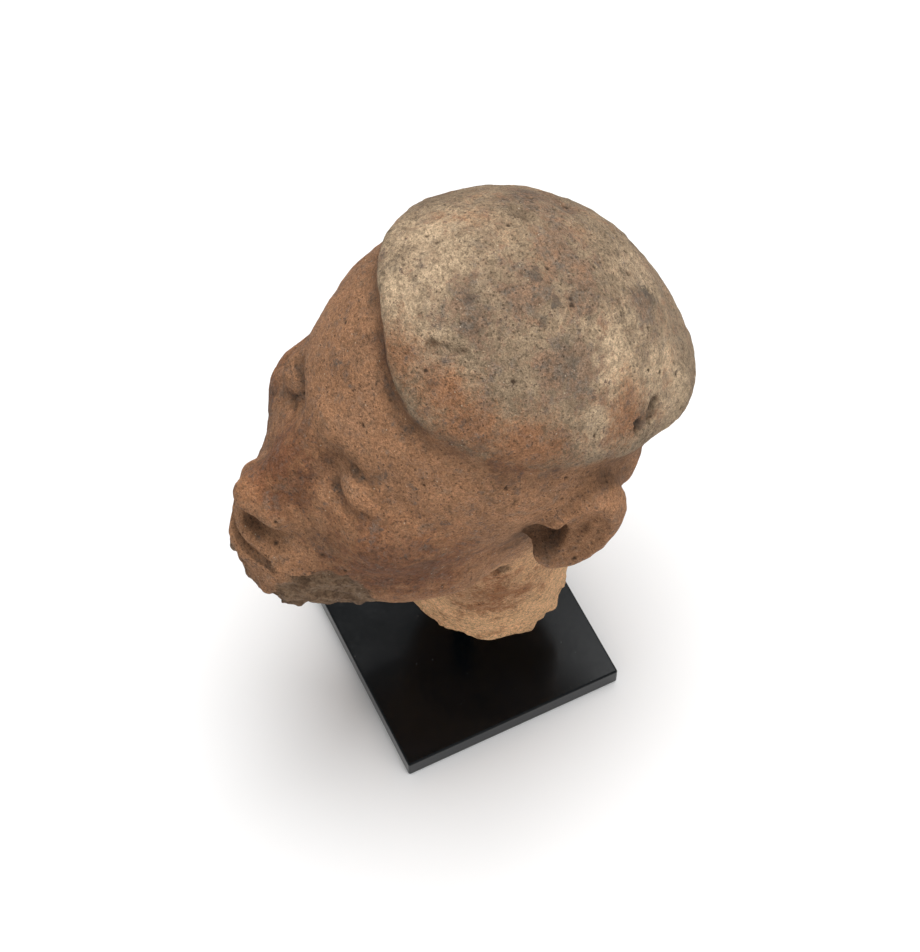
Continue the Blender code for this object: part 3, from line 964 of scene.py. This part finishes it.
def black_block():
    made = Nodes("black_block")
    smudge = made.noise(0.020, 4, 0.6)
    scuff = made.noise(0.0025, 5, 0.7)
    paint = made.mix(made.spread(smudge, 0.3, 0.7), DARK_PAINT, WORN_PAINT)
    dust = made.cells(0.0042)
    speck = made.spread(dust.outputs["Distance"], 0.03, 0.07, 0.35, 0.0)
    sparse = made.spread(made.noise(0.012, 2, 0.5), 0.52, 0.60)
    paint = made.mix(made.times(speck, sparse), paint, DUST)
    made.fill(made.shader.inputs["Base Color"], paint)
    smeared = made.spread(smudge, 0.3, 0.7, 0.15, 0.20)
    rubbed = made.spread(scuff, 0.5, 0.75, 0.0, 0.07)
    made.fill(made.shader.inputs["Roughness"], made.plus(smeared, rubbed))
    made.shader.inputs["Specular IOR Level"].default_value = 0.22
    made.bump(scuff, 0.00002)
    return made.material


def black_steel():
    made = Nodes("black_steel")
    scuff = made.noise(0.0018, 4, 0.65)
    colour = made.mix(made.spread(scuff, 0.35, 0.7), DARK_STEEL, WORN_STEEL)
    made.fill(made.shader.inputs["Base Color"], colour)
    made.fill(made.shader.inputs["Roughness"], made.spread(scuff, 0.3, 0.7, 0.32, 0.5))
    made.shader.inputs["Metallic"].default_value = 0.6
    made.bump(scuff, 0.00003)
    return made.material


def pale_floor():
    made = Nodes("pale_floor")
    made.shader.inputs["Base Color"].default_value = FLOOR_WHITE
    made.shader.inputs["Roughness"].default_value = 0.9
    return made.material


def give_finish(obj, material):
    obj.data.materials.clear()
    obj.data.materials.append(material)


def make_floor():
    draft = bmesh.new()
    bmesh.ops.create_grid(draft, x_segments=1, y_segments=1, size=FLOOR_REACH)
    floor = scene_object("floor", mesh_of(draft, "floor"))
    give_finish(floor, pale_floor())


def make_light(name, place, size, power, aim=(0, 0, 0.1)):
    data = bpy.data.lights.new(name, "AREA")
    data.shape = "DISK"
    data.size = size
    data.energy = power
    lamp = scene_object(name, data)
    lamp.location = place
    away = Vector(place) - Vector(aim)
    lamp.rotation_euler = away.to_track_quat("Z", "Y").to_euler()


def make_stage():
    make_floor()
    make_light("soft_box", SOFT_BOX_PLACE, SOFT_BOX_SIZE, SOFT_BOX_POWER)
    make_light("fill", FILL_PLACE, FILL_SIZE, FILL_POWER)
    make_light("gleam", GLEAM_PLACE, GLEAM_SIZE, GLEAM_POWER, aim=(0, 0, BASE_HEIGHT))
    world = bpy.data.worlds.new("pale_room")
    world.use_nodes = True
    sky = world.node_tree.nodes["Background"]
    sky.inputs["Color"].default_value = (1, 1, 1, 1)
    sky.inputs["Strength"].default_value = ROOM_STRENGTH
    bpy.context.scene.world = world
    bpy.context.scene.view_settings.view_transform = "Standard"


def make_camera():
    data = bpy.data.cameras.new("camera")
    data.lens = CAMERA_LENS
    data.sensor_width = CAMERA_SENSOR
    data.clip_start = 0.05
    camera = scene_object("camera", data)
    camera.location = CAMERA_PLACE
    camera.rotation_euler = (radians(90) - CAMERA_ELEVATION, 0, CAMERA_AZIMUTH)
    bpy.context.scene.camera = camera


def main():
    make_camera()
    make_stage()
    head = build_head()
    give_finish(head, terracotta())
    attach(head, "root")
    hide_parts("terracotta_head")
    give_finish(bpy.data.objects["mounting_rod"], black_steel())
    give_finish(bpy.data.objects["base_block"], black_block())


main()
